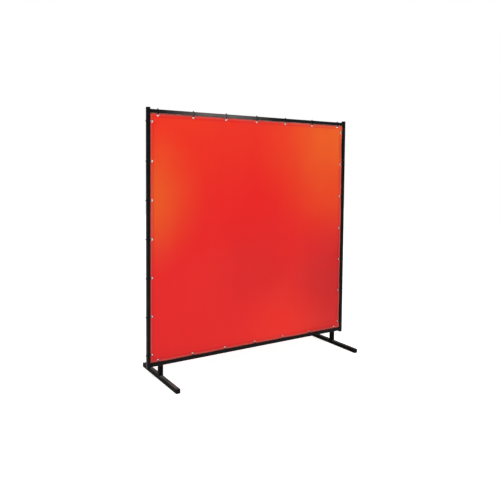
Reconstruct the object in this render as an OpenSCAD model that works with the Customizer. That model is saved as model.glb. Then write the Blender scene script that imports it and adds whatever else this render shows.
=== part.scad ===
// Single-panel welding curtain screen: a square-tube steel frame on two T-shaped feet,
// holding a tinted vinyl curtain that is tied all round through grommets.
// +X runs along the screen, -Y is its front, +Z is up. The origin is on the floor, midway between the feet.

/* [Frame] */
// Width of the frame over the outer faces of the two posts
frame_w = 1828.8; // [1200:0.1:2440]
// Height of the frame over the outer faces of the two rails
frame_h = 1828.8; // [1200:0.1:2440]
// Outside size of the square tube
tube = 25.4; // [25:0.1:32]
// Wall thickness of the square tube
wall = 1.25; // [1.1:0.05:1.6]
// Outside corner radius of the square tube
tube_r = 2; // [1.5:0.1:2.5]
// How far a post runs on past each rail, end plug included
overhang = 12.7; // [8:0.1:30]

/* [Feet] */
// Length of a foot bar, end plugs included
foot_l = 609.6; // [400:0.1:900]
// Outside size of the heavier square tube that the foot bars and their sleeves are made of
foot_tube = 31.75; // [31.5:0.05:38]
// Height of the sleeve that stands on a foot bar
sleeve_h = 73; // [66:0.5:150]
// Distance from a post's inner face to the near side of its foot sleeve
foot_inset = 63.5; // [63.5:0.1:150]

/* [Joints] */
// Length of a spigot that enters a rail
rail_spigot_l = 70; // [62:1:90]
// Length of a spigot that enters a foot sleeve
leg_spigot_l = 62; // [60:1:64]
// Gap between a rail's spigot and the rail around it, on each side
spigot_gap = 0.35; // [0.25:0.05:0.5]
// Gap between a leg's spigot and the sleeve around it, on each side
leg_gap = 0.5; // [0.3:0.05:0.6]
// Distance from a spigot's root to the middle of its snap button
button_x = 40; // [38:0.5:44]
// Diameter of a snap button
button_d = 7.9; // [7:0.1:8.2]
// How far a snap button stands proud of the outer tube
button_proud = 2.8; // [2:0.1:3.5]

/* [Curtain] */
// Gap between the curtain's edge and the tube
curtain_gap = 1; // [0.5:0.5:4]
// Thickness of the vinyl
vinyl_t = 0.4; // [0.3:0.1:0.8]
// Width of the folded hem
hem_w = 32; // [28:1:40]
// Distance from the tube to the middle of a grommet
grommet_gap = 15; // [14:0.5:18]
// Distance along a side from the end of the opening to its first grommet
grommet_corner = 60.4; // [51:0.1:60.4]
// Number of grommets along each side
grommets_per_side = 7; // [3:1:7]
// Diameter of a grommet's hole
grommet_hole = 8; // [8:0.1:9]
// Outside diameter of a grommet
grommet_d = 17; // [16:0.5:19]

/* [Cable ties] */
// Width of a tie's strap
strap_w = 4.8; // [4:0.1:4.8]
// Thickness of a tie's strap
strap_t = 1.2; // [1:0.1:1.3]
// Length of the cut tail above a tie's head
tail_l = 5; // [1:0.5:6]

/* [Hidden] */
$fn = 64;

// Tubes
tube_in = tube - 2 * wall;
foot_in = tube + 2 * leg_gap; // a leg's spigot is a length of the frame's own tube
foot_r = 3;
spigot_r = 1.2; // corner radius of whatever enters a tube
least_r = 0.3; // inner corner radius where the wall leaves less
seam = 0.25; // gap at each end of a rail

// Heights, from the floor up
rail_low_z = foot_tube + sleeve_h;
rail_high_z = rail_low_z + frame_h - tube;
post_low_z = rail_low_z - overhang;
post_high_z = rail_low_z + frame_h + overhang;
post_x = frame_w / 2 - tube / 2;
foot_x = frame_w / 2 - tube - foot_inset - foot_tube / 2;

// The opening that the curtain fills
open_w = frame_w - 2 * tube;
open_h = frame_h - 2 * tube;
open_z = rail_low_z + frame_h / 2; // its middle
curtain_w = open_w - 2 * curtain_gap;
curtain_h = open_h - 2 * curtain_gap;

// End plugs
plug_head_t = 2.5;
plug_head_step = 0.2; // from the tube's outer face to the head's
plug_body_gap = 1.5; // from the tube's inner face to the body
plug_body_l = 18;
plug_wall = 1.5;
plug_rib_gap = 0.1; // from the tube's inner face to a rib
plug_rib_t = 1;
plug_rib_root = 0.5; // how deep a rib starts in the body's wall
plug_ribs = 3;
plug_rib_pitch = 5;

// Snap button, measured across the spigot from its middle
stem_d = 5;
stem_end = 0.8; // how far the stem runs on past the spring clip
flange_d = 10.6;
flange_t = 1;
flange_gap = 0.25; // between the flange and the spigot's wall
dome_h = 1.4;
hole_slack = 0.3; // on the diameter, in the spigot; the outer tube has twice that

// Spring clip
clip_t = 0.7;
clip_w = 9;
clip_hole = stem_d + 0.2;
clip_rest = 0.1; // gap between the lower leg and the spigot's wall
clip_seat = 0.02; // gap between the upper leg and the button's flange
clip_kick = 0.6; // the upper leg's step up to the flange
clip_turn = 150; // angle of the fold
clip_bend_r = 2.2;
clip_reach = 29; // from the button to the fold
clip_tail = 6.5; // from the button to the legs' ends
clip_arc_steps = 8;

// Grommets: an eyelet pressed through the hem into a washer
barrel_t = 0.4;
flange_edge = 0.3; // height of the domed flange at its two edges
flange_rise = 0.9; // and in its middle
lip_w = 1.3;
lip_t = 0.2;
washer_t = 0.7;
bore_slack = 0.2; // on the diameter of the curtain's holes; the washers' have half that

// Cable ties, in the plane across the tube: u is 0 on the tube's inner face and grows outward
loop_slack = 0.1;
loop_r = tube_r + loop_slack;
loop_hole_u = -grommet_gap + 3; // inner side of the strap where it passes through the grommet
loop_flat = vinyl_t + flange_rise; // half the straight stretch inside the grommet
loop_corners = [
    [loop_hole_u + loop_r, -loop_flat],
    [tube_r, -(tube / 2 - tube_r)],
    [tube - tube_r, -(tube / 2 - tube_r)],
    [tube - tube_r, tube / 2 - tube_r],
    [tube_r, tube / 2 - tube_r],
    [loop_hole_u + loop_r, loop_flat]
];
loop_arc_steps = 4;
head_size = [5, 7.6, 7.8]; // out from the tube, round the loop, along the tube

BUTTONS = ["left_upper", "left_lower", "right_upper", "right_lower", "left_leg", "right_leg"];
SIDES = ["top", "bottom", "left", "right"];
NODES = concat(
    ["left_post", "right_post", "top_rail", "bottom_rail"],
    ["left_foot_bar", "right_foot_bar", "left_foot_sleeve", "right_foot_sleeve"],
    ["left_post_top_plug", "left_post_bottom_plug", "right_post_top_plug", "right_post_bottom_plug"],
    ["left_foot_front_plug", "left_foot_rear_plug", "right_foot_front_plug", "right_foot_rear_plug"],
    [for (b = BUTTONS) str(b, "_spigot")],
    [for (b = BUTTONS) str(b, "_snap_button")],
    [for (b = BUTTONS) str(b, "_snap_spring")],
    ["curtain", "grommets", "grommet_washers"],
    [for (s = SIDES) str("cable_ties_", s)]
);
node = "all";

// ---------- shared shapes ----------

// A square with true round corners
module rounded_square(size, r) {
    square([size, size - 2 * r], center = true);
    square([size - 2 * r, size], center = true);
    for (x = [-1, 1], y = [-1, 1]) translate([x, y] * (size / 2 - r)) circle(r);
}

// A square tube along +Z from the origin
module square_tube(size, r, t, l) {
    linear_extrude(l) difference() {
        rounded_square(size, r);
        rounded_square(size - 2 * t, max(r - t, least_r));
    }
}

// The outline of a strip of thickness t along a path of points
function strip(path, t) = let (
    n = len(path) - 1,
    normal = [for (i = [0:n]) let (
        d = path[min(i + 1, n)] - path[max(i - 1, 0)]
    ) [-d.y, d.x] / norm(d) * t / 2]
) concat([for (i = [0:n]) path[i] + normal[i]], [for (i = [n:-1:0]) path[i] - normal[i]]);

// The outline of a cord of radius r pulled tight round the given corners
function taut_loop(corners, r, steps) = let (n = len(corners)) [
    for (i = [0:n - 1]) let (
        before = corners[i] - corners[(i + n - 1) % n],
        after = corners[(i + 1) % n] - corners[i],
        from = atan2(before.y, before.x) - 90,
        turn = (atan2(after.y, after.x) - 90 - from + 720) % 360
    ) for (k = [0:steps]) corners[i] + r * [cos(from + turn * k / steps), sin(from + turn * k / steps)]
];

function side_of(name) = name[0] == "l" ? -1 : 1;
function is_leg(name) = name == "left_leg" || name == "right_leg";
function is_upper(name) = name == "left_upper" || name == "right_upper";
function spigot_length(name) = is_leg(name) ? leg_spigot_l : rail_spigot_l;
function spigot_size(name) = is_leg(name) ? tube : tube_in - 2 * spigot_gap;
function spigot_in(name) = spigot_size(name) - 2 * wall;
function flange_y(name) = spigot_in(name) / 2 - flange_gap; // top of the flange, under the spigot's wall
function button_top(name) = (is_leg(name) ? foot_tube : tube) / 2 + button_proud;

// Puts its children at the root of the named spigot. They are drawn along +X, with the button on +Y
module at_spigot(name) {
    side = side_of(name);
    rail_z = (is_upper(name) ? rail_high_z : rail_low_z) + tube / 2;
    if (is_leg(name)) translate([side * foot_x, 0, rail_low_z]) rotate([0, 90, 0]) children();
    else translate([side * open_w / 2, 0, rail_z]) mirror([max(side, 0), 0, 0]) children();
}

// ---------- frame ----------

module post(side) color("#1c1c1b")
    translate([side * post_x, 0, post_low_z + plug_head_t])
        square_tube(tube, tube_r, wall, post_high_z - post_low_z - 2 * plug_head_t);

module rail(z) color("#1c1c1b") difference() {
    translate([-open_w / 2 + seam, 0, z + tube / 2]) rotate([0, 90, 0])
        square_tube(tube, tube_r, wall, open_w - 2 * seam);
    for (side = [-1, 1]) translate([side * (open_w / 2 - button_x), 0, z + tube / 2]) button_hole(2);
}

// The hole that a snap button stands in, through the +Y wall only
module button_hole(slacks) rotate([-90, 0, 0]) cylinder(d = button_d + slacks * hole_slack, h = tube);

module spigot(name) color("#2a2a29") at_spigot(name) difference() {
    rotate([0, 90, 0])
        square_tube(spigot_size(name), is_leg(name) ? tube_r : spigot_r, wall, spigot_length(name));
    translate([button_x, 0, 0]) button_hole(1);
}

// ---------- feet ----------

module foot_tube_length(l) square_tube(foot_tube, foot_r, (foot_tube - foot_in) / 2, l);

module foot_bar(side) color("#1c1c1b")
    translate([side * foot_x, foot_l / 2 - plug_head_t, foot_tube / 2]) rotate([90, 0, 0])
        foot_tube_length(foot_l - 2 * plug_head_t);

module foot_sleeve(side) color("#1c1c1b") difference() {
    translate([side * foot_x, 0, foot_tube]) foot_tube_length(sleeve_h - seam);
    translate([side * foot_x, 0, rail_low_z - button_x]) button_hole(2);
}

// ---------- end plugs ----------

// A ribbed plug that enters a tube of the given outer and inner size along -Z, with its head above z = 0
module plug(outer, r, inner) color("#111111") {
    body = inner - 2 * plug_body_gap;
    linear_extrude(plug_head_t) rounded_square(outer - 2 * plug_head_step, r);
    translate([0, 0, -plug_body_l]) linear_extrude(plug_body_l) difference() {
        square(body, center = true);
        square(body - 2 * plug_wall, center = true);
    }
    for (i = [1:plug_ribs]) translate([0, 0, -i * plug_rib_pitch]) linear_extrude(plug_rib_t) difference() {
        rounded_square(inner - 2 * plug_rib_gap, spigot_r);
        square(body - 2 * plug_rib_root, center = true);
    }
}

module post_top_plug(side)
    translate([side * post_x, 0, post_high_z - plug_head_t]) plug(tube, tube_r, tube_in);

module post_bottom_plug(side)
    translate([side * post_x, 0, post_low_z + plug_head_t]) rotate([180, 0, 0]) plug(tube, tube_r, tube_in);

// end is -1 at the front of the foot and 1 at its rear
module foot_plug(side, end)
    translate([side * foot_x, end * (foot_l / 2 - plug_head_t), foot_tube / 2]) rotate([-end * 90, 0, 0])
        plug(foot_tube, foot_r, foot_in);

// ---------- snap buttons ----------

module snap_button(name) color("silver") at_spigot(name) translate([button_x, 0, 0]) rotate([-90, 0, 0]) {
    flange = flange_y(name);
    seat = flange - flange_t;
    low = seat - clip_t - stem_end;
    top = button_top(name);
    rotate_extrude() polygon([
        [0, low],
        [stem_d / 2, low],
        [stem_d / 2, seat],
        [flange_d / 2, seat],
        [flange_d / 2, flange],
        [button_d / 2, flange],
        [button_d / 2, top - dome_h],
        for (a = [15:15:75]) [button_d / 2 * cos(a), top - dome_h + dome_h * sin(a)],
        [0, top]
    ]);
}

// A folded leaf spring: one leg lies on the spigot's front wall, the other carries the button
module snap_spring(name) color("dimgray") at_spigot(name) translate([button_x, 0, 0]) difference() {
    low = -spigot_in(name) / 2 + clip_rest + clip_t / 2;
    high = flange_y(name) - flange_t - clip_seat - clip_t / 2;
    fold = [-clip_reach + clip_bend_r, low + clip_bend_r];
    translate([0, 0, -clip_w / 2]) linear_extrude(clip_w) polygon(strip(concat(
        [[clip_tail, low]],
        [for (k = [0:clip_arc_steps]) let (a = 270 - clip_turn * k / clip_arc_steps)
            fold + clip_bend_r * [cos(a), sin(a)]],
        [[-clip_tail - 1, high - clip_kick], [-clip_tail + 1, high], [clip_tail, high]]
    ), clip_t));
    rotate([-90, 0, 0]) cylinder(d = clip_hole, h = tube);
}

// ---------- curtain ----------

// Grommet places on one side: [x, z] from the middle of the opening
function grommet_places(side) = let (
    level = side == "top" || side == "bottom",
    reach = (level ? open_w : open_h) / 2 - grommet_corner, // from the middle to the last grommet
    edge = (level ? open_h : open_w) / 2 - grommet_gap,
    out = side == "top" || side == "right" ? edge : -edge
) [
    for (i = [0:grommets_per_side - 1]) let (along = reach * (2 * i / (grommets_per_side - 1) - 1))
        level ? [along, out] : [out, along]
];

// Draws its children, made along -Y, at every grommet
module at_grommets()
    for (s = SIDES, p = grommet_places(s)) translate([p.x, 0, open_z + p.y]) rotate([90, 0, 0]) children();

module curtain() color("#e8381f") difference() {
    translate([0, vinyl_t, open_z]) rotate([90, 0, 0]) union() {
        linear_extrude(vinyl_t * 2) difference() {
            square([curtain_w, curtain_h], center = true);
            square([curtain_w, curtain_h] - [2, 2] * hem_w, center = true);
        }
        translate([0, 0, vinyl_t]) linear_extrude(vinyl_t) square([curtain_w, curtain_h], center = true);
    }
    at_grommets() cylinder(d = grommet_hole + 2 * barrel_t + bore_slack, h = 5 * vinyl_t, center = true);
}

// The eyelet: a domed front flange, a barrel through the hem and a lip turned out over the washer
module eyelet() {
    hole = grommet_hole / 2;
    rim = grommet_d / 2;
    back = -vinyl_t - washer_t;
    rotate_extrude() polygon([
        [hole, back - lip_t],
        [hole + lip_w, back - lip_t],
        [hole + lip_w, back],
        [hole + barrel_t, back],
        [hole + barrel_t, vinyl_t],
        [rim, vinyl_t],
        for (a = [0:22.5:180]) [
            (rim + hole) / 2 + (rim - hole) / 2 * cos(a),
            vinyl_t + flange_edge + (flange_rise - flange_edge) * sin(a)
        ]
    ]);
}

module grommets() color("gainsboro") at_grommets() eyelet();

module grommet_washers() color("gainsboro") at_grommets() translate([0, 0, -vinyl_t - washer_t])
    linear_extrude(washer_t) difference() {
        circle(d = grommet_d);
        circle(d = grommet_hole + 2 * barrel_t + bore_slack / 2);
    }

// ---------- cable ties ----------

// One closed tie: +X points out from the tube and the strap's width is along Z.
// Its head is on the tube's outer face, or on the rear face
module cable_tie(head_on_rear = false) {
    translate([0, 0, -strap_w / 2]) linear_extrude(strap_w) difference() {
        polygon(taut_loop(loop_corners, loop_r + strap_t, loop_arc_steps));
        polygon(taut_loop(loop_corners, loop_r, loop_arc_steps));
    }
    translate([tube / 2, 0, 0]) rotate([0, 0, head_on_rear ? 90 : 0]) {
        face = tube / 2 + loop_slack;
        translate([face + head_size.x / 2, 0, 0]) cube(head_size, center = true);
        translate([face + head_size.x, -strap_t / 2, -strap_w / 2]) cube([tail_l, strap_t, strap_w]);
    }
}

// The ties under the bottom rail have their heads behind it, clear of the foot sleeves
module cable_ties(side) color("#0d0d0d")
    for (p = grommet_places(side)) {
        if (side == "right") translate([open_w / 2, 0, open_z + p.y]) cable_tie();
        if (side == "left") translate([-open_w / 2, 0, open_z + p.y]) rotate([0, 0, 180]) cable_tie();
        if (side == "top") translate([p.x, 0, open_z + open_h / 2]) rotate([0, -90, 0]) cable_tie();
        if (side == "bottom") translate([p.x, 0, open_z - open_h / 2]) rotate([0, 90, 0]) cable_tie(true);
    }

// ---------- nodes ----------

function wanted(name) = node == "all" || node == name;

if (wanted("left_post")) post(-1);
if (wanted("right_post")) post(1);
if (wanted("top_rail")) rail(rail_high_z);
if (wanted("bottom_rail")) rail(rail_low_z);
if (wanted("left_foot_bar")) foot_bar(-1);
if (wanted("right_foot_bar")) foot_bar(1);
if (wanted("left_foot_sleeve")) foot_sleeve(-1);
if (wanted("right_foot_sleeve")) foot_sleeve(1);
if (wanted("left_post_top_plug")) post_top_plug(-1);
if (wanted("left_post_bottom_plug")) post_bottom_plug(-1);
if (wanted("right_post_top_plug")) post_top_plug(1);
if (wanted("right_post_bottom_plug")) post_bottom_plug(1);
if (wanted("left_foot_front_plug")) foot_plug(-1, -1);
if (wanted("left_foot_rear_plug")) foot_plug(-1, 1);
if (wanted("right_foot_front_plug")) foot_plug(1, -1);
if (wanted("right_foot_rear_plug")) foot_plug(1, 1);
for (b = BUTTONS) {
    if (wanted(str(b, "_spigot"))) spigot(b);
    if (wanted(str(b, "_snap_button"))) snap_button(b);
    if (wanted(str(b, "_snap_spring"))) snap_spring(b);
}
if (wanted("curtain")) curtain();
if (wanted("grommets")) grommets();
if (wanted("grommet_washers")) grommet_washers();
for (s = SIDES) {
    if (wanted(str("cable_ties_", s))) cable_ties(s);
}
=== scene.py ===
"""Looks of the welding curtain screen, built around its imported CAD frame.
Metres, row frame, +Z up, -Y in front."""

import math
import random

import bpy
import numpy as np
from mathutils import Matrix, Vector


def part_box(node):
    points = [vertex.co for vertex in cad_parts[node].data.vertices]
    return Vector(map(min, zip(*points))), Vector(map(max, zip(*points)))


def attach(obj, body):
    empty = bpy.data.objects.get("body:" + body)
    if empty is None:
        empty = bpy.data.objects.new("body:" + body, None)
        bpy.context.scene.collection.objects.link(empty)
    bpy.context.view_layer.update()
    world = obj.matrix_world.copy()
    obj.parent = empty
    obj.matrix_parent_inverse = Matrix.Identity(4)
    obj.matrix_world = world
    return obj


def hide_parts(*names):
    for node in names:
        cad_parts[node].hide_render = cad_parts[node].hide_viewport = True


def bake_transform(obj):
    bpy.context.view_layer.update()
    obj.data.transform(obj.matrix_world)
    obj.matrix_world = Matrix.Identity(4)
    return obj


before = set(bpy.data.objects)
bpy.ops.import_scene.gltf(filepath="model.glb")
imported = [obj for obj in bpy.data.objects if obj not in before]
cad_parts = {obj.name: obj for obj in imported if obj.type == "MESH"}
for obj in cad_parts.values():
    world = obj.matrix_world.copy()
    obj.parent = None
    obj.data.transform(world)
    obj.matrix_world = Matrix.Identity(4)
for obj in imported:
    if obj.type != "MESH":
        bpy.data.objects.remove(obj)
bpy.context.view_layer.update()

MM = 0.001
random.seed(41)
scene = bpy.context.scene
scene.view_settings.view_transform = "Standard"

# ---------- sizes, from the frame ----------

RAIL_LOW, RAIL_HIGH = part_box("bottom_rail")
TUBE = RAIL_HIGH.z - RAIL_LOW.z
FOOT_LOW, FOOT_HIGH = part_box("left_foot_bar")
FOOT_TUBE = FOOT_HIGH.z - FOOT_LOW.z
TUBE_WALL, FOOT_WALL = 1.25 * MM, 2.675 * MM
TUBE_CORNER, FOOT_CORNER = 1.9 * MM, 2.9 * MM    # corner radii, a little under the tubes' own
OPEN_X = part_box("right_post")[0].x               # the opening runs from -OPEN_X to OPEN_X
OPEN_LOW, OPEN_HIGH = RAIL_HIGH.z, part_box("top_rail")[0].z
OPEN_Z = (OPEN_LOW + OPEN_HIGH) / 2
OPEN_HALF = (OPEN_HIGH - OPEN_LOW) / 2
SHEET_LOW, SHEET_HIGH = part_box("curtain")
SHEET_HALF = SHEET_HIGH.x                        # the curtain is square
VINYL = (SHEET_HIGH.y - SHEET_LOW.y) / 2         # its thickness, which the hem doubles
HEM = 32 * MM
WELD = (HEM - 9 * MM, HEM - 4 * MM)              # the hem's pressed weld, from the sheet's edge
GROMMET_R = 8.5 * MM                             # of its flange
GROMMET_BORE = 4 * MM                            # radius of its hole
CORNER_GAP = 60.4 * MM                           # from the end of the opening to a side's first grommet
PER_SIDE = 7
EDGE_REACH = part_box("grommets")[1].x - GROMMET_R  # from the middle to a side's line of grommets
SIDE_REACH = OPEN_HALF - CORNER_GAP              # from the middle to the last grommet of a side
PLACES = [SIDE_REACH * (2 * i / (PER_SIDE - 1) - 1) for i in range(PER_SIDE)]
SIDES = ("top", "bottom", "left", "right")
QUARTERS = ((1, 1), (-1, 1), (-1, -1), (1, -1))  # the signs of X and Y in each quarter, anticlockwise
BUTTONS = ("left_upper", "left_lower", "right_upper", "right_lower", "left_leg", "right_leg")


def grommet_points(side):
    """Each grommet's (x, z) on one side, from the middle of the opening."""
    reach = EDGE_REACH if side in ("top", "right") else -EDGE_REACH
    return [(p, reach) if side in ("top", "bottom") else (reach, p) for p in PLACES]


# ---------- camera, floor and light ----------

ROOM_LIGHT = 0.22                                # strength of the light from all round
FLOOR_HALF = 14                                  # metres
CAMERA_AT = Vector((-2.3462, -3.6053, 1.5065))
CAMERA_YAW, CAMERA_PITCH, CAMERA_ROLL = (math.radians(a) for a in (32.421, -3.018, 0.511))
CAMERA_LENS, CAMERA_SENSOR = 39.27, 36           # millimetres
CAMERA_SHIFT = -0.1001                           # of the frame, as a share of its width


def add_camera():
    """A camera at the photograph's viewing angle, shifted along its height for the framing."""
    forward = Vector((math.sin(CAMERA_YAW) * math.cos(CAMERA_PITCH),
                      math.cos(CAMERA_YAW) * math.cos(CAMERA_PITCH),
                      math.sin(CAMERA_PITCH)))
    level = Vector((math.cos(CAMERA_YAW), -math.sin(CAMERA_YAW), 0))
    upright = level.cross(forward)
    right = level * math.cos(CAMERA_ROLL) + upright * math.sin(CAMERA_ROLL)
    up = upright * math.cos(CAMERA_ROLL) - level * math.sin(CAMERA_ROLL)
    data = bpy.data.cameras.new("camera")
    data.lens, data.sensor_width = CAMERA_LENS, CAMERA_SENSOR
    data.shift_y = CAMERA_SHIFT
    camera = bpy.data.objects.new("camera", data)
    camera.matrix_world = Matrix((right, up, -forward)).transposed().to_4x4()
    camera.location = CAMERA_AT
    scene.collection.objects.link(camera)
    scene.camera = camera


def area_light(name, at, towards, size, watts):
    """A square light that the camera doesn't see."""
    data = bpy.data.lights.new(name, "AREA")
    data.shape, data.size = "SQUARE", size
    data.energy = watts
    light = bpy.data.objects.new(name, data)
    light.location = at
    light.rotation_euler = (Vector(towards) - Vector(at)).to_track_quat("-Z", "Y").to_euler()
    light.visible_camera = False
    scene.collection.objects.link(light)


def sun_light(name, towards, strength, spread):
    """An even light over the whole floor, as soft as its spread in degrees."""
    data = bpy.data.lights.new(name, "SUN")
    data.energy, data.angle = strength, math.radians(spread)
    light = bpy.data.objects.new(name, data)
    light.rotation_euler = Vector(towards).to_track_quat("-Z", "Y").to_euler()
    scene.collection.objects.link(light)


def add_world():
    """A white backdrop to the camera, and a dim room to everything else."""
    world = bpy.data.worlds.new("studio")
    world.use_nodes = True
    scene.world = world
    nodes, links = world.node_tree.nodes, world.node_tree.links
    out = nodes["World Output"]
    room, backdrop = nodes["Background"], nodes.new("ShaderNodeBackground")
    room.inputs["Color"].default_value = (1, 1, 1, 1)
    room.inputs["Strength"].default_value = ROOM_LIGHT
    backdrop.inputs["Color"].default_value = (1, 1, 1, 1)
    backdrop.inputs["Strength"].default_value = 1.0
    mix, path = nodes.new("ShaderNodeMixShader"), nodes.new("ShaderNodeLightPath")
    links.new(path.outputs["Is Camera Ray"], mix.inputs[0])
    links.new(room.outputs[0], mix.inputs[1])
    links.new(backdrop.outputs[0], mix.inputs[2])
    links.new(mix.outputs[0], out.inputs[0])


# ---------- materials ----------

COAT_BLACK = (0.0028, 0.0028, 0.0026)
BARE_SCRATCH = (0.06, 0.058, 0.055)
# painted highlight that lightens a coat where it faces up
UPWARD_HIGHLIGHT = (0.14, 0.138, 0.132)
# painted highlight on a coat's front faces
FRONT_HIGHLIGHT = (0.11, 0.098, 0.092)
# the film's red, and the orange of its painted glow; the same for the hem
RED_FILM, PAINTED_GLOW_FILM = (0.80, 0.014, 0.015), (0.80, 0.135, 0.017)
RED_HEM, PAINTED_GLOW_HEM = (0.80, 0.013, 0.018), (0.80, 0.10, 0.026)
# painted shade and painted light on the film
PAINTED_SHADE_FILM, PAINTED_LIGHT_FILM = (0.44, 0.010, 0.012), (0.87, 0.026, 0.015)
# the weld's darker red, and the painted highlights near the edge and along the fold
WELD_RED, EDGE_HIGHLIGHT, FOLD_HIGHLIGHT = (0.45, 0.008, 0.010), (0.64, 0.13, 0.10), (0.76, 0.30, 0.27)


class Finish:
    """A Principled material, with short ways to add the nodes that feed it."""

    def __init__(self, name, colour, roughness, metallic=0.0):
        self.material = bpy.data.materials.new(name)
        self.material.use_nodes = True
        self.nodes, self.links = self.material.node_tree.nodes, self.material.node_tree.links
        self.shader = self.nodes["Principled BSDF"]
        self.shader.inputs["Base Color"].default_value = (*colour, 1)
        self.shader.inputs["Roughness"].default_value = roughness
        self.shader.inputs["Metallic"].default_value = metallic
        self.place = self.nodes.new("ShaderNodeTexCoord").outputs["Object"]

    def stretched(self, scale):
        """The row frame's coordinates, times scale along each axis."""
        mapping = self.nodes.new("ShaderNodeMapping")
        mapping.inputs["Scale"].default_value = scale
        self.links.new(self.place, mapping.inputs["Vector"])
        return mapping.outputs[0]

    def noise(self, scale, detail=3.0, rough=0.5, at=None):
        """Cloudy noise, scale patches to the metre, at the row frame's coordinates or another socket's."""
        node = self.nodes.new("ShaderNodeTexNoise")
        node.inputs["Scale"].default_value = scale
        node.inputs["Detail"].default_value = detail
        node.inputs["Roughness"].default_value = rough
        self.links.new(at or self.place, node.inputs["Vector"])
        return node.outputs["Fac"]

    def cells(self, scale):
        """The distance to the nearest of scattered points, scale of them to the metre."""
        node = self.nodes.new("ShaderNodeTexVoronoi")
        node.inputs["Scale"].default_value = scale
        self.links.new(self.place, node.inputs["Vector"])
        return node.outputs["Distance"]

    def spread(self, value, from_low, from_high, to_low, to_high, smooth=False):
        """value's range from_low..from_high, spread over to_low..to_high and held there."""
        node = self.nodes.new("ShaderNodeMapRange")
        if smooth:
            node.interpolation_type = "SMOOTHSTEP"
        for i, number in enumerate((from_low, from_high, to_low, to_high), start=1):
            node.inputs[i].default_value = number
        self.links.new(value, node.inputs[0])
        return node.outputs[0]

    def drift(self, noise, low, high):
        """From low to high over the middle of a noise's range."""
        return self.spread(noise, 0.3, 0.7, low, high)

    def split(self, vector):
        """The X, Y and Z of a vector socket."""
        node = self.nodes.new("ShaderNodeSeparateXYZ")
        self.links.new(vector, node.inputs[0])
        return node.outputs

    def maths(self, operation, a, b=0.0):
        """One calculation on two numbers or sockets, by Blender's name for the operation."""
        node = self.nodes.new("ShaderNodeMath")
        node.operation = operation
        for socket, value in zip(node.inputs, (a, b)):
            if isinstance(value, (int, float)):
                socket.default_value = value
            else:
                self.links.new(value, socket)
        return node.outputs[0]

    def times(self, a, b):
        """The product of two numbers or sockets."""
        return self.maths("MULTIPLY", a, b)

    def plus(self, a, b):
        """Their sum."""
        return self.maths("ADD", a, b)

    def largest(self, a, b):
        """The larger of them."""
        return self.maths("MAXIMUM", a, b)

    def away(self, value, centre):
        """How far value is from centre, on either side."""
        return self.maths("ABSOLUTE", self.maths("SUBTRACT", value, centre))

    def tint(self, factor, low, high):
        """A colour that goes from low to high as factor goes from 0 to 1. Each may be a socket."""
        node = self.nodes.new("ShaderNodeMix")
        node.data_type = "RGBA"
        self.links.new(factor, node.inputs[0])
        # a mix of colours has its A, B and Result at these places
        for socket, colour in ((node.inputs[6], low), (node.inputs[7], high)):
            if isinstance(colour, tuple):
                socket.default_value = (*colour, 1)
            else:
                self.links.new(colour, socket)
        return node.outputs[2]

    def near(self, point, reach):
        """1 at a point of the row frame, easing to 0 at the distance reach."""
        node = self.nodes.new("ShaderNodeVectorMath")
        node.operation = "DISTANCE"
        node.inputs[1].default_value = point
        self.links.new(self.place, node.inputs[0])
        return self.spread(node.outputs["Value"], 0, reach, 1, 0, smooth=True)

    def facing(self, axis, sign=1):
        """1 on what faces along an axis (0, 1 or 2), 0 from a slope of 45 degrees on."""
        normal = self.split(self.nodes.new("ShaderNodeNewGeometry").outputs["Normal"])
        return self.spread(self.times(normal[axis], sign), 0.7, 0.98, 0, 1, smooth=True)

    def inward(self):
        """How far inside the sheet's outer edge a point is, in metres."""
        x, _, z = self.split(self.place)
        outward = self.largest(self.maths("ABSOLUTE", x), self.away(z, OPEN_Z))
        return self.maths("SUBTRACT", SHEET_HALF, outward)

    def line(self, value, centre, half):
        """1 where value is centre, fading to 0 at half away on both sides."""
        return self.spread(self.away(value, centre), 0, half, 1, 0, smooth=True)

    def shine(self, level, index=1.5):
        """How strongly a dielectric reflects: Blender's specular level and the index of refraction."""
        self.shader.inputs["Specular IOR Level"].default_value = level
        self.shader.inputs["IOR"].default_value = index

    def colour(self, socket):
        self.links.new(socket, self.shader.inputs["Base Color"])

    def roughness(self, socket):
        self.links.new(socket, self.shader.inputs["Roughness"])

    def bump(self, *layers):
        """Bumps one over another: each layer is (height socket, depth in metres)."""
        normal = None
        for height, depth in layers:
            node = self.nodes.new("ShaderNodeBump")
            node.inputs["Strength"].default_value = 1
            node.inputs["Distance"].default_value = depth
            self.links.new(height, node.inputs["Height"])
            if normal:
                self.links.new(normal, node.inputs["Normal"])
            normal = node.outputs[0]
        self.links.new(normal, self.shader.inputs["Normal"])


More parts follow.
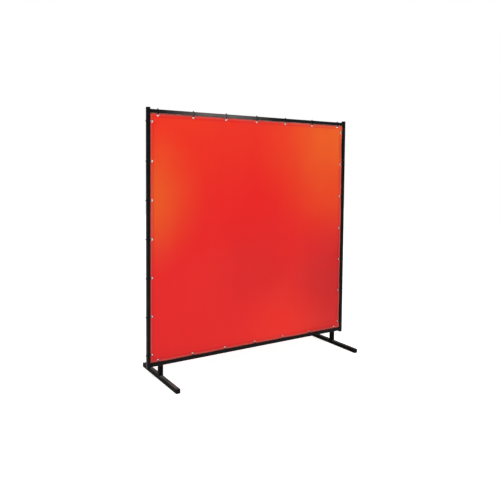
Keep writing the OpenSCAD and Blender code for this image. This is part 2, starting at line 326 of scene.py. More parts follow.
def powder_coat(name, colour=COAT_BLACK, sheen=0.16, index=1.5, wear=0.0, upward_highlight=0.0, front_highlight=None):
    """Satin black powder coat with orange peel: worn by fine scratches, lighter by a painted highlight where
    it faces up, and lighter by a painted highlight on its front faces round a given place, within a given
    reach."""
    f = Finish(name, colour, 0.4)
    f.shine(sheen, index)
    patches = f.spread(f.noise(9, 4), 0.35, 0.7, 0, 1)
    scratches = f.spread(f.noise(260, 2, 0.7, f.stretched((1, 0.06, 0.25))), 0.62, 0.72, 0, 1)
    body = f.tint(patches, colour, tuple(c * 1.6 + 0.001 for c in colour))
    body = f.tint(f.times(scratches, wear), body, BARE_SCRATCH)
    # painted highlight on upward faces, in patches
    if upward_highlight:
        settled = f.spread(f.noise(4.5, 5, 0.6), 0.38, 0.6, 0.2 * upward_highlight, upward_highlight)
        body = f.tint(f.times(f.facing(2), settled), body, UPWARD_HIGHLIGHT)
    # painted highlight on the front faces round a given point, in patches
    if front_highlight:
        front_highlight_patches = f.spread(f.noise(14, 4, 0.6, f.stretched((0.4, 1, 1))), 0.3, 0.6, 0.6, 1)
        front_highlight_mask = f.times(f.times(f.near(*front_highlight), front_highlight_patches), f.facing(1, -1))
        body = f.tint(front_highlight_mask, body, FRONT_HIGHLIGHT)
    f.colour(body)
    f.roughness(f.spread(f.noise(40, 3), 0.3, 0.75, 0.34, 0.46))
    f.bump((f.noise(750, 2), 0.06 * MM), (f.noise(2600, 1), 0.015 * MM))
    return f.material


def moulded_plastic():
    """Black plastic with a fine moulded grain."""
    f = Finish("plug_plastic", (0.003, 0.003, 0.003), 0.5)
    f.shine(0.08, 1.35)
    f.colour(f.tint(f.drift(f.noise(60, 3), 0, 1), (0.002, 0.002, 0.002), (0.005, 0.005, 0.005)))
    f.roughness(f.drift(f.noise(180, 3), 0.42, 0.62))
    f.bump((f.cells(2600), 0.03 * MM))
    return f.material


def nylon():
    """The ties' smooth black nylon."""
    f = Finish("black_nylon", (0.004, 0.004, 0.004), 0.38)
    f.shine(0.12)
    f.roughness(f.drift(f.noise(300, 2), 0.3, 0.5))
    f.bump((f.noise(1800, 2), 0.02 * MM))
    return f.material


def plated(name, colour, rough_low, rough_high, floor_shade=0.0):
    """Plated metal with fine scratches and slight tarnish, and painted shade that darkens it towards the
    floor by a given share.
    """
    f = Finish(name, colour, rough_low, metallic=1.0)
    tarnish = f.spread(f.noise(220, 4), 0.4, 0.75, 0, 1)
    body = f.tint(tarnish, colour, tuple(c * 0.82 for c in colour))
    if floor_shade:
        # painted shade: darker towards the floor
        low = f.spread(f.split(f.place)[2], OPEN_Z + 0.25, OPEN_LOW + 0.35, 0, floor_shade, smooth=True)
        body = f.tint(low, body, tuple(c * 0.2 for c in colour))
    f.colour(body)
    f.roughness(f.drift(f.noise(900, 3, 0.6, f.stretched((1, 1, 0.2))), rough_low, rough_high))
    f.bump((f.noise(3000, 2), 0.006 * MM))
    return f.material


def vinyl_body(f, inward):
    """The film's colour: red, turned orange in places by a painted glow as if lit from behind, darker in
    others by painted shade, lighter towards the bottom by painted light, and a little deeper in the hem.
    """
    # painted glow: spots where the film turns orange, as if lit from behind
    upper_right = f.near((1.0, 0, OPEN_Z + 0.85), 1.15)
    left = f.times(f.near((-1.0, 0, OPEN_Z + 0.28), 0.62), 0.8)
    top = f.times(f.near((-0.5, 0, OPEN_Z + 1.05), 1.05), 0.2)
    bottom = f.times(f.near((0.35, 0, OPEN_Z - 0.95), 0.55), 0.12)
    painted_glow = f.plus(f.largest(upper_right, left), f.plus(top, bottom))
    clouds = f.drift(f.noise(2.2, 3, 0.45), 0.8, 1.2)
    streaks = f.drift(f.noise(7, 3, 0.5, f.stretched((1, 1, 0.12))), 0, 0.04)
    painted_glow = f.plus(f.times(painted_glow, clouds), streaks)
    panel = f.tint(painted_glow, RED_FILM, PAINTED_GLOW_FILM)
    doubled = f.tint(painted_glow, RED_HEM, PAINTED_GLOW_HEM)
    body = f.tint(f.spread(inward, HEM - MM, HEM + MM, 1, 0), panel, doubled)
    # painted shade: darker towards the lower right and the middle
    lower_right = f.times(f.near((0.85, 0, OPEN_Z - 0.46), 0.76), 0.5)
    middle = f.times(f.near((0.05, 0, OPEN_Z - 0.3), 0.62), 0.22)
    body = f.tint(f.largest(lower_right, middle), body, PAINTED_SHADE_FILM)
    # painted light: brighter towards the bottom middle
    return f.tint(f.near((0.25, 0, OPEN_Z - 0.9), 0.6), body, PAINTED_LIGHT_FILM)


def vinyl():
    """Tinted vinyl film: smooth, soft and slightly see-through, with a darker weld line along its hem, and
    painted highlights towards its edge and along its fold."""
    f = Finish("tinted_vinyl", (0.78, 0.03, 0.017), 0.3)
    f.shine(0.2)
    inward = f.inward()
    weld = f.times(f.line(inward, (WELD[0] + WELD[1]) / 2, 3.5 * MM), 0.22)
    body = f.tint(weld, vinyl_body(f, inward), WELD_RED)
    # painted highlight: paler within 8 to 17 mm of the sheet's edge
    edge_highlight = f.times(f.spread(inward, 8 * MM, 17 * MM, 1, 0, smooth=True), 0.6)
    body = f.tint(edge_highlight, body, EDGE_HIGHLIGHT)
    # painted highlight along the folded edge
    fold_highlight = f.times(f.spread(inward, 0, 4 * MM, 1, 0), 0.2)
    body = f.tint(fold_highlight, body, FOLD_HIGHLIGHT)
    f.colour(body)
    f.roughness(f.drift(f.noise(30, 4), 0.28, 0.38))
    f.bump((f.noise(5, 3), 1.0 * MM), (f.noise(420, 2), 0.02 * MM))
    through = f.nodes.new("ShaderNodeBsdfTranslucent")
    through.inputs["Color"].default_value = (0.85, 0.05, 0.01, 1)
    mix = f.nodes.new("ShaderNodeMixShader")
    mix.inputs[0].default_value = 0.25
    f.links.new(f.shader.outputs[0], mix.inputs[1])
    f.links.new(through.outputs[0], mix.inputs[2])
    f.links.new(mix.outputs[0], f.nodes["Material Output"].inputs["Surface"])
    return f.material


def pale_floor():
    """A white sweep that glows a little, so that shadows on it stay faint."""
    f = Finish("pale_floor", (0.86, 0.86, 0.86), 0.7)
    f.shine(0.1)
    f.shader.inputs["Emission Color"].default_value = (1, 1, 1, 1)
    f.shader.inputs["Emission Strength"].default_value = 0.6
    f.colour(f.tint(f.drift(f.noise(0.6, 2), 0, 1), (0.85, 0.85, 0.85), (0.88, 0.88, 0.875)))
    return f.material


# ---------- mesh helpers ----------

def add_piece(name, points, faces, material, sharp=40):
    """A shown mesh with smooth shading up to the sharp angle."""
    mesh = bpy.data.meshes.new(name)
    mesh.from_pydata([tuple(p) for p in points], [], [tuple(f) for f in faces])
    mesh.validate()
    mesh.shade_smooth()
    mesh.set_sharp_from_angle(angle=math.radians(sharp))
    mesh.materials.append(material)
    obj = bpy.data.objects.new(name, mesh)
    scene.collection.objects.link(obj)
    return obj


class Shape:
    """Points and faces of one or more closed solids, gathered for one piece."""

    def __init__(self):
        self.points, self.faces = [], []

    def add(self, points, faces, matrix=Matrix.Identity(4)):
        """Adds one solid, turned and moved by the matrix."""
        start = len(self.points)
        self.points += [matrix @ Vector(p) for p in points]
        self.faces += [tuple(start + i for i in face) for face in faces]

    def piece(self, name, material, sharp):
        return add_piece(name, self.points, self.faces, material, sharp)


def ringed(rings, closed=False):
    """Faces between equal rings of points, capped at both ends unless the last ring meets the first."""
    n, count = len(rings[0]), len(rings)
    points = [p for ring in rings for p in ring]
    faces = []
    for i in range(count if closed else count - 1):
        a, b = i * n, (i + 1) % count * n
        faces += [(a + k, a + (k + 1) % n, b + (k + 1) % n, b + k) for k in range(n)]
    if not closed:
        faces += [tuple(reversed(range(n))), tuple(range((count - 1) * n, count * n))]
    return points, faces


def rounded_rectangle(half_x, half_y, radius, steps):
    """Points anticlockwise round a rectangle whose round corners take steps + 1 points each."""
    points = []
    for quarter, (sx, sy) in enumerate(QUARTERS):
        for k in range(steps + 1):
            a = math.radians(90 * (quarter + k / steps))
            points.append((sx * (half_x - radius) + radius * math.cos(a),
                           sy * (half_y - radius) + radius * math.sin(a)))
    return points


def lathed(profile, steps=32):
    """A closed ring of revolution about +Z from (radius, height) points."""
    rings = []
    for k in range(steps):
        a = 2 * math.pi * k / steps
        rings.append([(r * math.cos(a), r * math.sin(a), z) for r, z in profile])
    return ringed(rings, closed=True)


def show(piece, slot, *nodes):
    """The piece rides on the frame and stands for the named CAD nodes, which it hides; slot is not used."""
    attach(piece, "frame")
    if nodes:
        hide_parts(*nodes)


def finish_node(name, material):
    """A CAD node keeps its shape and gets a procedural material."""
    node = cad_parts[name]
    node.data.materials.clear()
    node.data.materials.append(material)


# ---------- curtain ----------

FOLD_R = 0.9 * MM         # the hem's folded edge stays a little open
FOLD_DECAY = 3 * MM       # how far in the fold's bulge reaches
FOLD_END = 2.2 * MM       # a mesh line over the bulge
LEAST_CELL = 0.2 * MM     # mesh lines nearer than this are one
SLIT = 0.03 * MM          # between the hem's two layers
PITCH = 13 * MM           # of the sheet's mesh
PATCH = 9 * MM            # half the square of mesh round a grommet
PATCH_MARKS = (-2, -1, 0, 1, 2)          # its lines, in half patches from its middle
HOLE_R = GROMMET_BORE + 0.5 * MM         # of the hole in the film, round the grommet's barrel
WELD_DEPTH = 0.12 * MM
SAME = 1e-7               # places nearer than this are one
RIPPLES = 9               # waves in the starting ripple
WAVE_RANGE = (0.25, 1.1)  # their lengths
RIPPLE = 1.2 * MM         # a wave's height for each metre of its length
RIPPLE_FREE = 60 * MM     # how far from a grommet the ripple is free
FLAT_REACH = 12 * MM      # how far past a grommet's flange it holds the film flat
HANG_LIMIT = 9 * MM       # the most that the sheet may leave its plane
HANG_CELLS = 84           # along each side of the simulated film
HANG_FRAMES = 40          # that the simulation runs for
SLACK = 0.0003            # how much wider the film is than its grommets hold it, as a share
# the film's layers from front to back, and whether a face of each turns as its loop does
LAYERS = (("front", True), ("panel_back", False), ("hem_front", True), ("hem_back", False))


def sheet_lines():
    """The mesh lines across the sheet, the same in X and Z."""
    fold_lines = (FOLD_R, FOLD_END)
    weld_lines = (WELD[0], WELD[0] + MM, WELD[1] - MM, WELD[1])
    marks = {0.0} | {SHEET_HALF - d for d in (*fold_lines, *weld_lines, HEM, HEM + 2 * MM)}
    for centre in [EDGE_REACH] + [p for p in PLACES if p > -MM]:
        marks |= {abs(centre + k * PATCH / 2) for k in PATCH_MARKS}
    lines = [0.0]
    for mark in sorted(marks)[1:]:
        gap = mark - lines[-1]
        if gap < LEAST_CELL:
            continue
        parts = max(1, round(gap / PITCH))
        lines += [mark - gap * (1 - k / parts) for k in range(1, parts + 1)]
    return np.array([-x for x in reversed(lines[1:])] + lines)


def round_square(marks):
    """The points round a square's edge, anticlockwise, from the marks along one side."""
    low, high = marks[0], marks[-1]
    return ([(v, low) for v in marks[:-1]] + [(high, v) for v in marks[:-1]]
            + [(v, high) for v in marks[:0:-1]] + [(low, v) for v in marks[:0:-1]])


def starting_ripple(x, z, distance):
    """Random long waves that fade out towards the grommets, which are at the given distance."""
    ripple = np.zeros_like(x)
    for _ in range(RIPPLES):
        way = random.uniform(0, 2 * math.pi)
        wave = random.uniform(*WAVE_RANGE)
        along = x * math.cos(way) + z * math.sin(way)
        ripple += wave * np.sin(2 * math.pi / wave * along + random.uniform(0, 6))
    return ripple * (RIPPLE * (1 - np.exp(-(distance / RIPPLE_FREE) ** 2)))


def settle(start, faces, pinned, material):
    """Where a film of slightly slack vinyl comes to rest, pinned at some of its starting points."""
    cloth = add_piece("hanging_film", start, faces, material)
    pins = cloth.vertex_groups.new(name="pins")
    pins.add(pinned, 1, "REPLACE")
    modifier = cloth.modifiers.new("cloth", "CLOTH")
    settings = modifier.settings
    settings.quality = 6
    settings.mass = 0.02
    settings.air_damping = 4
    settings.tension_stiffness = settings.compression_stiffness = 150
    settings.shear_stiffness = 80
    settings.bending_stiffness = 4
    settings.tension_damping = settings.compression_damping = 15
    settings.shrink_min = -SLACK
    settings.vertex_group_mass = "pins"
    settings.effector_weights.gravity = 0.2
    modifier.point_cache.frame_start, modifier.point_cache.frame_end = 1, HANG_FRAMES
    for step in range(1, HANG_FRAMES + 1):
        scene.frame_set(step)
    settled = cloth.evaluated_get(bpy.context.evaluated_depsgraph_get()).to_mesh()
    place = np.zeros(len(start) * 3)
    settled.vertices.foreach_get("co", place)
    bpy.data.objects.remove(cloth)
    scene.frame_set(1)
    return place.reshape(-1, 3)


def smoothed(grid):
    """The grid's offsets, each averaged twice with its neighbours along both axes."""
    n = len(grid)
    for axis in (0, 1, 0, 1):
        padded = np.concatenate([grid.take([0], axis), grid, grid.take([-1], axis)], axis)
        grid = (padded.take(range(n), axis) + 2 * grid + padded.take(range(2, n + 2), axis)) / 4
    return grid


def hang(material):
    """Where the tied sheet hangs, as [x, y, z] offsets on a square grid over the sheet: a cloth
    simulation pinned at its grommets."""
    n = HANG_CELLS + 1
    across = np.linspace(-SHEET_HALF, SHEET_HALF, n)
    x, z = np.meshgrid(across, across, indexing="ij")
    held = [centre for side in SIDES for centre in grommet_points(side)]
    distance = np.stack([np.hypot(x - cx, z - cz).ravel() for cx, cz in held])
    ripple = starting_ripple(x, z, distance.min(axis=0).reshape(n, n))
    start = np.stack([x, ripple, z], axis=-1).reshape(-1, 3)
    faces = [(i * n + j, (i + 1) * n + j, (i + 1) * n + j + 1, i * n + j + 1)
             for i in range(n - 1) for j in range(n - 1)]
    place = settle(start, faces, [int(i) for i in distance.argmin(axis=1)], material)
    offset = (place - np.stack([x, 0 * x, z], axis=-1).reshape(-1, 3)).reshape(n, n, 3)
    offset[..., 1] = HANG_LIMIT * np.tanh(offset[..., 1] / HANG_LIMIT)
    return smoothed(offset)


def cubic_weights(t):
    """Catmull-Rom weights of the four grid points round a place t of the way between the middle two."""
    return np.stack([-t + 2 * t**2 - t**3, 2 - 5 * t**2 + 3 * t**3,
                     t + 4 * t**2 - 3 * t**3, -t**2 + t**3]) / 2


def sample(grid, x, z):
    """The grid's offsets at points x, z of the sheet."""
    n = len(grid)
    place = [np.clip((c / SHEET_HALF + 1) / 2, 0, 1) * (n - 1) for c in (x, z)]
    cell = [np.clip(p.astype(int), 0, n - 2) for p in place]
    weights = [cubic_weights(p - c) for p, c in zip(place, cell)]
    total = np.zeros((len(x), 3))
    for a in range(4):
        for b in range(4):
            i, j = (np.clip(c + k - 1, 0, n - 1) for c, k in zip(cell, (a, b)))
            total += (weights[0][a] * weights[1][b])[:, None] * grid[i, j]
    return total


def layer_depth(layer, x, z):
    """A layer's place in Y at a point of the flat sheet: bulging at the fold, and pressed at the weld."""
    inward = SHEET_HALF - max(abs(x), abs(z))
    bulge = (FOLD_R - VINYL) * math.exp(-((inward - FOLD_R) / FOLD_DECAY) ** 2)
    pressed = WELD_DEPTH if WELD[0] + 0.5 * MM < inward < WELD[1] - 0.5 * MM else 0
    outer = VINYL + bulge - pressed
    inner = bulge + SLIT / 2
    return {"front": -outer, "panel_back": -inner, "hem_front": inner, "hem_back": outer}[layer]


class FoldedSheet:
    """The mesh of one sheet folded over and welded all round, flat and centred: a front, and behind its hem
    a second layer."""

    def __init__(self):
        self.lines = sheet_lines()
        self.inner_edge = SHEET_HALF - HEM
        self.centres = [c for side in SIDES for c in grommet_points(side)]
        self.points, self.faces = [], []
        self.index_at = {}
        self.add_layers()
        for centre in self.centres:
            self.add_hole(*centre)
        self.add_hem_step()
        self.add_fold("front", "hem_back", FOLD_R, (-54, -18, 18, 54), True)
        self.add_fold("panel_back", "hem_front", FOLD_R - VINYL, (-40, 40), False)

    def point(self, layer, x, z):
        """The number of a layer's point, which is made when it is first asked for."""
        key = (layer, round(x, 7), round(z, 7))
        if key not in self.index_at:
            self.index_at[key] = len(self.points)
            self.points.append((x, layer_depth(layer, x, z), z))
        return self.index_at[key]

    def nearest_line(self, v):
        """The mesh line nearest to a place in X or Z."""
        return self.lines[np.abs(self.lines - v).argmin()]

    def add_face(self, loop, forward=True):
        """Adds a face from a loop of points, turned over unless forward."""
        self.faces.append(tuple(loop) if forward else tuple(reversed(loop)))

    def add_wall(self, fore, aft, a, b):
        """A face from one layer to another, along the edge from a to b."""
        self.add_face([self.point(fore, *a), self.point(fore, *b), self.point(aft, *b), self.point(aft, *a)])

    def add_layers(self):
        """The cells of the panel's two faces and of the hem's four, apart from the grommets' patches."""
        lines = self.lines
        middle = (lines[1:] + lines[:-1]) / 2
        for i, x in enumerate(middle):
            for j, z in enumerate(middle):
                if any(abs(x - cx) < PATCH and abs(z - cz) < PATCH for cx, cz in self.centres):
                    continue
                in_hem = max(abs(x), abs(z)) > self.inner_edge
                ring = [(lines[i], lines[j]), (lines[i + 1], lines[j]),
                        (lines[i + 1], lines[j + 1]), (lines[i], lines[j + 1])]
                for layer, forward in LAYERS if in_hem else LAYERS[:2]:
                    self.add_face([self.point(layer, *p) for p in ring], forward)

    def add_hole(self, cx, cz):
        """The mesh round a grommet's hole, and the hole's walls."""
        square = round_square(PATCH_MARKS)
        rim = [(self.nearest_line(cx + a * PATCH / 2), self.nearest_line(cz + b * PATCH / 2))
               for a, b in square]
        hole = [(cx + HOLE_R * a / math.hypot(a, b), cz + HOLE_R * b / math.hypot(a, b)) for a, b in square]
        for k in range(len(square)):
            m = (k + 1) % len(square)
            for layer, forward in LAYERS:
                self.add_face([self.point(layer, *p) for p in (rim[k], rim[m], hole[m], hole[k])], forward)
            self.add_wall("front", "panel_back", hole[k], hole[m])
            self.add_wall("hem_front", "hem_back", hole[k], hole[m])

    def add_hem_step(self):
        """The step at the hem's inner edge, round the panel."""
        step = round_square([v for v in self.lines if abs(v) < self.inner_edge + SAME])
        for k, a in enumerate(step):
            self.add_wall("hem_front", "hem_back", a, step[(k + 1) % len(step)])

    def add_fold(self, fore, aft, radius, angles, forward):
        """One side of the fold along the sheet's outer edge, from one layer round to another."""
        end = self.lines[-1]
        rows = []
        for x, z in round_square(self.lines):
            out_x, out_z = (math.copysign(1, v) if abs(v) > end - SAME else 0 for v in (x, z))
            row = [self.point(fore, x, z)]
            for a in (math.radians(angle) for angle in angles):
                row.append(len(self.points))
                out = radius * math.cos(a)
                self.points.append((x + out_x * out, radius * math.sin(a), z + out_z * out))
            rows.append(row + [self.point(aft, x, z)])
        for k, a in enumerate(rows):
            b = rows[(k + 1) % len(rows)]
            for m in range(len(a) - 1):
                self.add_face([a[m], a[m + 1], b[m + 1], b[m]], forward)


def build_curtain(material):
    """The folded sheet, hung by its grommets, which hold it flat close round them."""
    sheet = FoldedSheet()
    flat = np.array(sheet.points)
    offset = sample(hang(material), flat[:, 0], flat[:, 2])
    near = np.min([np.hypot(flat[:, 0] - cx, flat[:, 2] - cz) for cx, cz in sheet.centres], axis=0)
    offset *= (1 - np.exp(-(np.maximum(near - GROMMET_R, 0) / FLAT_REACH) ** 2))[:, None]
    placed = flat + offset + np.array([0, 0, OPEN_Z])
    return add_piece("curtain_sheet", placed, sheet.faces, material, sharp=50)


# ---------- grommets ----------

# outlines as (radius, height towards the front) in millimetres
EYELET = ((8.5, 0.42), (8.5, 0.6), (8.25, 0.84), (7.5, 1.1), (6.5, 1.28), (5.5, 1.3), (4.7, 1.12),
          (4.2, 0.75), (4.0, 0.25), (4.0, -1.0), (4.15, -1.32), (4.6, -1.5), (5.15, -1.5), (5.55, -1.34),
          (5.6, -1.13), (4.6, -1.11), (4.4, -0.95), (4.4, 0.4))
WASHER = ((8.5, -0.55), (8.45, -0.95), (8.1, -1.1), (6.2, -1.1), (5.8, -1.02), (4.6, -1.02), (4.5, -0.9),
          (4.5, -0.45), (8.2, -0.43))


def at_each_grommet(name, outline, material):
    """An outline turned about the axis of each grommet."""
    shape = Shape()
    points, faces = lathed([(r * MM, h * MM) for r, h in outline])
    to_front = Matrix(((1, 0, 0), (0, 0, -1), (0, 1, 0))).to_4x4()
    for side in SIDES:
        for x, z in grommet_points(side):
            shape.add(points, faces, Matrix.Translation((x, 0, OPEN_Z + z)) @ to_front)
    return shape.piece(name, material, sharp=35)


def build_eyelets(material):
    """Domed eyelets whose barrels are rolled over their washers."""
    return at_each_grommet("eyelets", EYELET, material)


def build_washers(material):
    """The flat washers behind the sheet."""
    return at_each_grommet("eyelet_washers", WASHER, material)


# ---------- cable ties ----------

STRAP_W, STRAP_T = 4.8 * MM, 1.2 * MM
STRAP_ROUND = 0.35 * MM   # of the strap's own edges
STRAP_LIFT = 0.1 * MM     # the strap's and the head's clearance from the tube
CORNER_R = 2.1 * MM       # the strap's inner radius round a tube's corner
HOLE_U = -12 * MM         # the strap's inner side where it passes a grommet, from the tube's inner face
HOLE_FLAT = 1.3 * MM      # half the flat stretch there
HEAD_HIGH = 5 * MM
HEAD_ROUND, HEAD_ALONG = 3.8 * MM, 3.9 * MM      # half its size round the loop and along the tube
# a head's outline from the strap up, in millimetres: height, how far in from its sides, and corner radius
HEAD_OUTLINE = ((0, 0.4, 1.1), (0.5, 0, 1.3), (3.9, 0, 1.3), (4.6, 0.35, 1.2), (5.0, 0.95, 0.9))
POCKET = (1.3 * MM, 2.9 * MM, 0.3 * MM)          # half its two sizes, and its corner radius
POCKET_FLOOR = 4.1 * MM
TAIL_RANGE = (3.5, 6.5)   # how far the cut ends stand out, in millimetres
TAIL_START = 3.9 * MM     # inside the head
TAIL_HALF = 0.55 * MM     # half the tail's thickness, to the tips of its teeth
TOOTH, TOOTH_ROOT = 1.3 * MM, 0.2 * MM           # from one tooth to the next, and how far out their roots are
TIP_SIDE, TIP_FALL = 0.3 * MM, 0.4 * MM          # the cut's high edge, across the tail, and its slope down
TIP_CLEAR = 0.3 * MM      # the last tooth's least distance from the tip
LEAN = 0.05               # the most that a tie leans along its tube, as a slope
# for the ties on each side: out of the opening through the tube, across the screen, and along the tube
TIE_AXES = {"right": ((1, 0, 0), (0, 1, 0), (0, 0, 1)), "left": ((-1, 0, 0), (0, -1, 0), (0, 0, 1)),
            "top": ((0, 0, 1), (0, 1, 0), (-1, 0, 0)), "bottom": ((0, 0, -1), (0, 1, 0), (1, 0, 0))}


def strap_rings():
    """Rings of the strap's section round the tight loop, in (u, v, w): out from the tube's inner face,
    round the tube, and along it."""
    half = TUBE / 2
    inset = CORNER_R - STRAP_LIFT
    corners = [(HOLE_U + CORNER_R, -HOLE_FLAT), (inset, inset - half), (TUBE - inset, inset - half),
               (TUBE - inset, half - inset), (inset, half - inset), (HOLE_U + CORNER_R, HOLE_FLAT)]
    section = rounded_rectangle(STRAP_T / 2, STRAP_W / 2, STRAP_ROUND, 2)
    rings = []
    for i, (u, v) in enumerate(corners):
        before, after = corners[i - 1], corners[(i + 1) % len(corners)]
        start = math.atan2(v - before[1], u - before[0]) - math.pi / 2
        turn = (math.atan2(after[1] - v, after[0] - u) - math.pi / 2 - start) % (2 * math.pi)
        for k in range(6):
            a = start + turn * k / 5
            rings.append([(u + (CORNER_R + STRAP_T / 2 + r) * math.cos(a),
                           v + (CORNER_R + STRAP_T / 2 + r) * math.sin(a), w) for r, w in section])
    return rings


def head_rings():
    """A cable tie's head: rounded block with a pocket where the tail comes out, along +Z."""
    rings = []
    for h, inset, r in HEAD_OUTLINE:
        corners = rounded_rectangle(HEAD_ROUND - inset * MM, HEAD_ALONG - inset * MM, r * MM, 3)
        rings.append([(x, y, h * MM) for x, y in corners])
    for h in (HEAD_HIGH, POCKET_FLOOR):
        rings.append([(x, y, h) for x, y in rounded_rectangle(*POCKET, 3)])
    return rings


def tail_points(length):
    """The cut end of the strap with its teeth on one side, along +Z from inside the head."""
    teeth = max(1, round((length + MM) / TOOTH))
    top = HEAD_HIGH + length
    outline = [(-TAIL_HALF, TAIL_START)]
    for k in range(teeth):
        outline += [(TAIL_HALF, TAIL_START + k * TOOTH), (TOOTH_ROOT, TAIL_START + (k + 0.8) * TOOTH)]
    outline = [p for p in outline if p[1] < top - TIP_CLEAR]
    outline += [(TIP_SIDE, top), (-TAIL_HALF, top - TIP_FALL)]
    half = STRAP_W / 2
    n = len(outline)
    points = [(x, y, h) for y in (-half, half) for x, h in outline]
    faces = [tuple(range(n)), tuple(reversed(range(n, 2 * n)))]
    faces += [(k, k + n, (k + 1) % n + n, (k + 1) % n) for k in range(n)]
    return points, faces


def head_seat(side):
    """Where a head sits on its loop: its own +Z points out from the tube, or backwards on the bottom rail."""
    quarter = math.radians(90) if side == "bottom" else 0
    out = Matrix(((0, 0, 1), (0, 1, 0), (-1, 0, 0))).to_4x4()
    return (Matrix.Translation((TUBE / 2, 0, 0)) @ Matrix.Rotation(quarter, 4, "Z")
            @ Matrix.Translation((TUBE / 2 + STRAP_LIFT, 0, 0)) @ out @ Matrix.Rotation(math.pi / 2, 4, "Z"))


def build_ties(side, material):
    """Seven tightened ties along one side, each leaning a little unless its head is behind the rail."""
    shape = Shape()
    turn = Matrix(TIE_AXES[side]).transposed().to_4x4()
    for x, z in grommet_points(side):
        origin = {"right": (OPEN_X, 0, OPEN_Z + z), "left": (-OPEN_X, 0, OPEN_Z + z),
                  "top": (x, 0, OPEN_HIGH), "bottom": (x, 0, OPEN_LOW)}[side]
        skew = 0 if side == "bottom" else random.uniform(-LEAN, LEAN)
        lean = Matrix(((1, 0, 0, 0), (0, 1, 0, 0), (skew, 0, 1, -skew * HOLE_U), (0, 0, 0, 1)))
        at = Matrix.Translation(origin) @ turn @ lean
        shape.add(*ringed(strap_rings(), closed=True), at)
        seat = at @ head_seat(side)
        shape.add(*ringed(head_rings()), seat)
        shape.add(*tail_points(random.uniform(*TAIL_RANGE) * MM), seat)
    return shape.piece("ties_" + side, material, sharp=35)


# ---------- end plugs ----------

# A plug's outline from its face to inside its hollow, in millimetres: how far in from the tube's side, and
# the height above the tube's end. The head is measured from the tube's outer side, and the ribbed body from
# its inner side.
PLUG_HEAD = [(1.3, 2.5), (0.6, 2.36), (0.25, 1.95), (0.2, 1.4), (0.2, 0.0)]
PLUG_RIB = [(1.5, -4.0), (0.1, -4.9), (0.1, -5.2), (1.5, -5.9)]
PLUG_RIBS, RIB_PITCH = 3, 5.0
PLUG_BODY = ([(1.5, 0.0)] + [(inset, h - RIB_PITCH * k) for k in range(PLUG_RIBS) for inset, h in PLUG_RIB]
             + [(1.5, -18.0), (3.0, -18.0), (3.0, -1.0)])
PLUG_OUT = {"post_top_plug": (0, 0, 1), "post_bottom_plug": (0, 0, -1),
            "foot_front_plug": (0, -1, 0), "foot_rear_plug": (0, 1, 0)}


def build_plug(node, material):
    """A ribbed plug with a crowned head, in the place of its CAD node."""
    low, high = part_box(node)
    centre = (low + high) / 2
    where = node.split("_", 1)[1]
    in_post = "post" in where
    outer, wall, radius = (TUBE, TUBE_WALL, TUBE_CORNER) if in_post else (FOOT_TUBE, FOOT_WALL, FOOT_CORNER)
    out = Vector(PLUG_OUT[where])
    reach = max(abs((c - centre).dot(out)) for c in (low, high))
    root = centre + out * (reach - PLUG_HEAD[0][1] * MM)
    outline = [(outer / 2 - inset * MM, h * MM) for inset, h in PLUG_HEAD]
    head_half = outline[-1][0]
    outline += [(outer / 2 - wall - inset * MM, h * MM) for inset, h in PLUG_BODY]
    rings = [[(x, y, h) for x, y in rounded_rectangle(half, half, radius * half / head_half, 4)]
             for half, h in outline]
    points, faces = ringed(rings)
    shape = Shape()
    shape.add(points, [tuple(reversed(f)) for f in faces],
              Matrix.Translation(root) @ out.to_track_quat("Z", "Y").to_matrix().to_4x4())
    return shape.piece(node.replace("_plug", "_cap"), material, sharp=32)


# ---------- weld beads ----------

FILLET, SEAM = 3.4 * MM, 3.2 * MM        # sizes of the beads across and along the foot
SEAM_DROP = 2 * MM                       # how far the seams lie below the top of the bar
BEAD_STEP = 0.45 * MM                    # from one ring of a bead's mesh to the next
BEAD_RIPPLE = 1.9 * MM                   # from one ripple to the next


def bead(start, end, up, side, size):
    """A rippled, slightly uneven weld bead with blunt ends, from start to end. up and side are the
    directions of its two legs."""
    start, end, up, side = (Vector(v) for v in (start, end, up, side))
    length = (end - start).length
    count = max(8, int(length / BEAD_STEP))
    rings = []
    for i in range(count + 1):
        t = i / count
        middle = start.lerp(end, t)
        ripple = 1 + 0.1 * abs(math.sin(math.pi * t * length / BEAD_RIPPLE)) + random.uniform(-0.03, 0.03)
        blunt = min(1, 0.35 + 6 * min(t, 1 - t))
        r = size * ripple * blunt
        ring = [middle - (up + side) * size * 0.25]
        for a in (math.radians(15 * k) for k in range(7)):
            flattened = r * (0.8 + 0.2 * abs(math.cos(2 * a)))
            ring.append(middle + (up * math.sin(a) + side * math.cos(a)) * flattened)
        rings.append(ring)
    points, faces = ringed(rings)
    if (end - start).cross(side).dot(up) < 0:
        faces = [tuple(reversed(f)) for f in faces]
    return points, faces


def build_foot_welds(side, material):
    """The beads that join a foot's sleeve to its bar: fillets in front and behind, seams along its sides."""
    low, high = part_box(side + "_foot_sleeve")
    x, z, half = (low.x + high.x) / 2, low.z, FOOT_TUBE / 2
    left, right, up = x - half + MM, x + half - MM, (0, 0, 1)
    shape = Shape()
    for way in (-1, 1):
        face = way * half
        shape.add(*bead((left, face, z), (right, face, z), up, (0, way, 0), FILLET))
        edge, seam = x + way * (half - FOOT_CORNER), z - SEAM_DROP
        shape.add(*bead((edge, -half, seam), (edge, half, seam), up, (way, 0, 0), SEAM))
    return shape.piece(side + "_foot_welds", material, sharp=60)


# ---------- spring clips ----------

def build_spring(name, material):
    """A folded spring, one leg in the spigot and one on the button: a copy of its CAD node's mesh in its own
    finish, in the place of the node.
    """
    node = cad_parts[name + "_snap_spring"]
    mesh = node.data.copy()
    mesh.name = name + "_clip"
    mesh.materials.clear()
    mesh.materials.append(material)
    clip = bpy.data.objects.new(name + "_clip", mesh)
    scene.collection.objects.link(clip)
    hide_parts(name + "_snap_spring")
    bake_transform(clip)


# ---------- build ----------

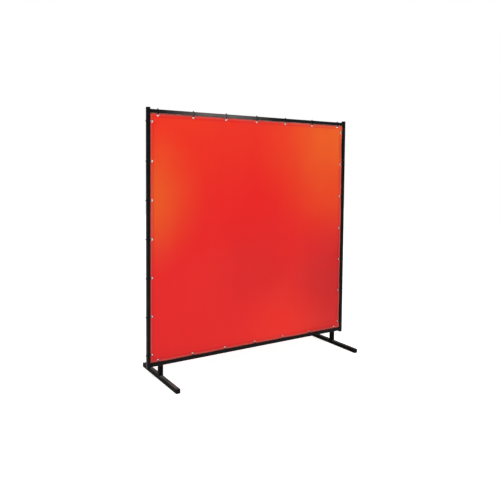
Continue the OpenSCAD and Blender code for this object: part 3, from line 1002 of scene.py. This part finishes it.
add_camera()
add_world()

coat = powder_coat("powder_coat", sheen=0.12, index=1.35, wear=0.25)
# the feet's coat has a painted highlight on its upward faces
foot_coat = powder_coat("foot_coat", sheen=0.04, index=1.2, wear=0.3, upward_highlight=0.75)
# the top rail's coat has a painted highlight on its front, left of the middle
rail_coat = powder_coat("rail_coat", sheen=0.08, wear=0.2, front_highlight=((-0.33, 0, OPEN_HIGH + TUBE / 2), 0.55))
inner_coat = powder_coat("inner_coat", colour=(0.012, 0.012, 0.0115), wear=1.0)
plug_plastic = moulded_plastic()
# the grommets' nickel has painted shade towards the floor
nickel = plated("nickel", (0.66, 0.62, 0.57), 0.2, 0.34, floor_shade=0.8)
zinc = plated("zinc", (0.62, 0.62, 0.6), 0.28, 0.42)
spring_steel = plated("spring_steel", (0.3, 0.3, 0.31), 0.3, 0.45)
black_nylon = nylon()
film = vinyl()

for name in ("left_post", "right_post", "bottom_rail"):
    finish_node(name, coat)
finish_node("top_rail", rail_coat)
for side in ("left", "right"):
    finish_node(side + "_foot_bar", foot_coat)
    finish_node(side + "_foot_sleeve", foot_coat)
    show(build_foot_welds(side, foot_coat), "frame_coating")
    for place in ("post_top", "post_bottom", "foot_front", "foot_rear"):
        plug = f"{side}_{place}_plug"
        show(build_plug(plug, plug_plastic), "plug_plastic", plug)
for name in BUTTONS:
    finish_node(name + "_spigot", inner_coat)
    finish_node(name + "_snap_button", zinc)
    build_spring(name, spring_steel)

curtain = build_curtain(film)
show(curtain, "curtain_vinyl", "curtain")
eyelets = build_eyelets(nickel)
show(eyelets, "grommet_metal", "grommets")
washers = build_washers(nickel)
show(washers, "grommet_metal", "grommet_washers")
for side in SIDES:
    show(build_ties(side, black_nylon), "tie_nylon", "cable_ties_" + side)

floor_corners = [(sx * FLOOR_HALF, sy * FLOOR_HALF, 0) for sx, sy in QUARTERS]
floor = add_piece("floor", floor_corners, [(0, 1, 2, 3)], pale_floor())

sun_light("front_sun", (0.35, 0.62, -1.1), strength=0.5, spread=70)
sun_light("rear_sun", (-0.3, -0.35, -1.3), strength=1.2, spread=80)
area_light("key", (-1.9, -2.0, 3.4), towards=(0, 0, 1.75), size=1.6, watts=50)
area_light("upper_right", (1.7, -1.8, 3.0), towards=(0.8, 0, 1.8), size=1.0, watts=21)
